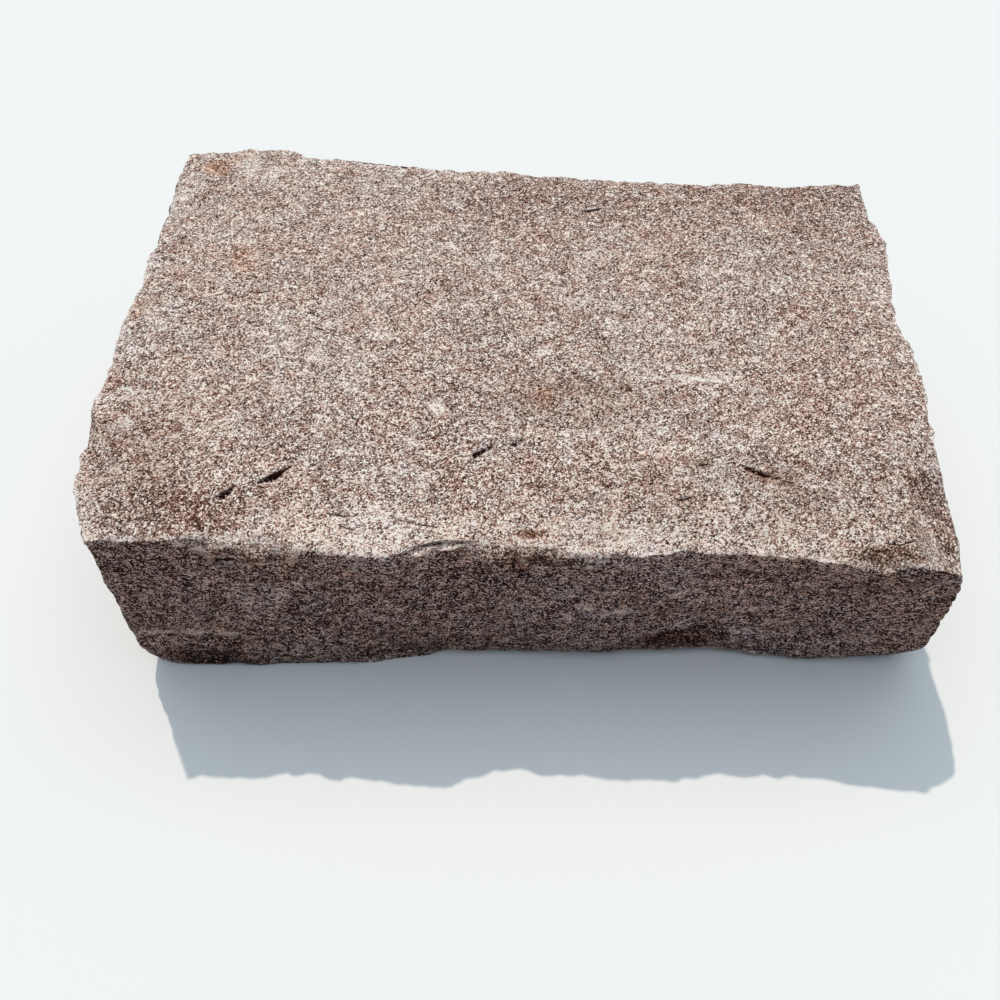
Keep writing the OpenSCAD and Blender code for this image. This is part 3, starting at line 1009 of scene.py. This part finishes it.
def grain_colour(n, place, light, grain_tint, coarse_hue):
    """The colour of clean stone. Split faces take a darker copy with more contrast: painted
    shade.
    """
    noises = ((n.noise(place, size), weight) for size, weight in HUE_NOISES)
    hue = n.total((coarse_hue, OWN_HUE), *noises)
    worn = n.mix(n.ramp(hue, WARM_TO_GREY), n.ramp(light, WARM_GRAINS),
                 n.ramp(light, GREY_GRAINS))
    # split faces in painted shade: a much darker copy of the grain colours
    split = n.mix(1.0, n.ramp(light, SHADED_SPLIT_GRAINS), n.ramp(grain_tint, SHADED_SPLIT_TINTS), "MULTIPLY")
    split = n.mix(1.0, split, n.ramp(hue, SHADED_SPLIT_HUES), "MULTIPLY")
    return n.mix(n.painted("split"), worn, split)


def weathered(n, place, colour, crushed):
    """The colour with crushed edges, rust, stains and scuffs, and cracks in painted shade."""
    colour = n.mix(n.math("MULTIPLY", crushed, CRUSHED_SHARE), colour, CRUSHED)
    colour = n.mix(n.patchy("rust", place), colour, RUSTED, "MULTIPLY")
    colour = n.mix(n.patchy("stain", place), colour, STAINED, "MULTIPLY")
    scuffed = n.math("MULTIPLY", n.patchy("scuff", place), SCUFFED_SHARE)
    colour = n.mix(scuffed, colour, SCUFFED)
    ragged = n.math("MULTIPLY", n.noise(place, LINE_SIZE), LINE_RAGGED)
    for name, line, paint_over in (
        ("scratch", SCRATCH_LINE, SCUFFED), ("crack_shade", CRACK_LINE, CRACK_SHADE),
    ):
        within = n.math("SUBTRACT", n.painted(name), ragged)
        colour = n.mix(n.ramp(within, line), colour, paint_over)
    return colour


def granite():
    n = Nodes(bpy.data.materials.new("granite"))
    place = n.add("TexCoord").outputs["Object"]
    ragged = ragged_space(n, place)
    fine, finer, fine_rise, fine_gap = n.cells(ragged, FINE_SIZE)
    coarse, coarse_hue, coarse_rise, _ = n.cells(ragged, COARSE_SIZE)
    crushed = crushed_marks(n, place)
    light = grain_light(n, place, fine, finer, fine_rise, coarse, crushed)
    colour = grain_colour(n, place, light, fine_rise, coarse_hue)
    n.join(weathered(n, place, colour, crushed), n.shader.inputs["Base Color"])
    n.join(n.ramp(light, ROUGH), n.shader.inputs["Roughness"])
    n.shader.inputs["Specular IOR Level"].default_value = SHINE
    relief = n.total((fine_gap, GAP_PROUD), (fine_rise, FINE_PROUD),
                     (coarse_rise, COARSE_PROUD), (n.noise(place, *LUMP_NOISE), LUMPS_PROUD))
    depth = n.total((n.painted("split"), SPLIT_PROUD * MM), (1.0, PROUD * MM))
    bump = n.add("Bump", {"Height": relief, "Distance": depth, "Strength": BUMP_STRENGTH})
    n.join(bump.outputs[0], n.shader.inputs["Normal"])
    return n.owner


make_block()

# ---------- the stage ----------
# In metres, as the scene is
FLOOR_HALF = 8
FLOOR_ROUGHNESS, FLOOR_SHINE = 0.9, 0.0
PALE_PAINT = (0.86, 0.87, 0.87, 1)  # the floor and the backdrop as they are seen
DARK_PAINT = (0.68, 0.56, 0.49, 1)  # the floor in the light it throws on the block
CAMERA_AT = (-0.010, -0.278, 0.331)
CAMERA_SLOPE = 1.225  # how far down the camera looks for one forward
LENS = 36  # as wide as the sensor, in millimetres
SUN_FROM = (-0.20, 0.42, 1)
SUN_WIDTH = 1  # in degrees
SUN_SHARE, PANEL_SHARE, SKY_SHARE = 0.43, 0.37, 0.26  # of the light on the top
PANEL_AT, PANEL_SIZE = (0, 0, 4.8), 6.0
SUNLIGHT = (1.12, 1.0, 0.86)
SKY = (0.78, 1.0, 1.17, 1)
PANEL_LIGHT = (0.94, 1.0, 1.05)


def seen(n):
    """1 where a surface is seen, directly or mirrored, and 0 where it lights
    the block."""
    path = n.add("LightPath").outputs
    out = path["Is Camera Ray"]
    for kind in ("Is Glossy Ray", "Is Transmission Ray"):
        out = n.math("MAXIMUM", out, path[kind])
    return out


def make_floor():
    mesh = bpy.data.meshes.new("floor")
    r = FLOOR_HALF
    mesh.from_pydata([(-r, -r, 0), (r, -r, 0), (r, r, 0), (-r, r, 0)], [], [(0, 1, 2, 3)])
    n = Nodes(bpy.data.materials.new("floor"))
    n.join(n.mix(seen(n), DARK_PAINT, PALE_PAINT), n.shader.inputs["Base Color"])
    n.shader.inputs["Roughness"].default_value = FLOOR_ROUGHNESS
    n.shader.inputs["Specular IOR Level"].default_value = FLOOR_SHINE
    mesh.materials.append(n.owner)
    new_object("floor", mesh)


def make_world():
    world = bpy.data.worlds.new("world")
    bpy.context.scene.world = world
    n = Nodes(world)
    sky = n.tree.nodes["Background"]
    sky.inputs["Color"].default_value = SKY
    sky.inputs["Strength"].default_value = SKY_SHARE
    backdrop = n.add("Background", {"Color": PALE_PAINT})
    mixed = n.add("MixShader", {0: seen(n), 1: sky.outputs[0], 2: backdrop.outputs[0]})
    n.join(mixed.outputs[0], n.tree.nodes["World Output"].inputs["Surface"])


def make_lights():
    """The sun and a soft panel overhead: together with the sky they light the
    top of the block so that its colours render about as written."""
    steep = unit(SUN_FROM)[2]
    sun = bpy.data.lights.new("sun", "SUN")
    sun.energy = SUN_SHARE * math.pi / steep
    sun.color = SUNLIGHT
    sun.angle = math.radians(SUN_WIDTH)
    turn = Vector(SUN_FROM).to_track_quat("Z", "Y").to_euler()
    new_object("sun", sun).rotation_euler = turn
    panel = bpy.data.lights.new("panel", "AREA")
    panel.size = PANEL_SIZE
    panel.color = PANEL_LIGHT
    # the share of the sky over the block that the panel fills, weighted by slope
    half, high = PANEL_SIZE / 2, PANEL_AT[2]
    reach = math.hypot(half, high)
    filled = 4 / math.pi * half / reach * math.atan(half / reach)
    panel.energy = PANEL_SHARE * math.pi * PANEL_SIZE ** 2 / filled
    new_object("panel", panel).location = PANEL_AT


def make_camera():
    data = bpy.data.cameras.new("camera")
    data.lens = data.sensor_width = LENS
    camera = new_object("camera", data)
    camera.location = CAMERA_AT
    camera.rotation_euler = (math.pi / 2 - math.atan(CAMERA_SLOPE), 0, 0)
    bpy.context.scene.camera = camera


make_floor()
make_world()
make_lights()
make_camera()
bpy.context.scene.view_settings.view_transform = "Standard"
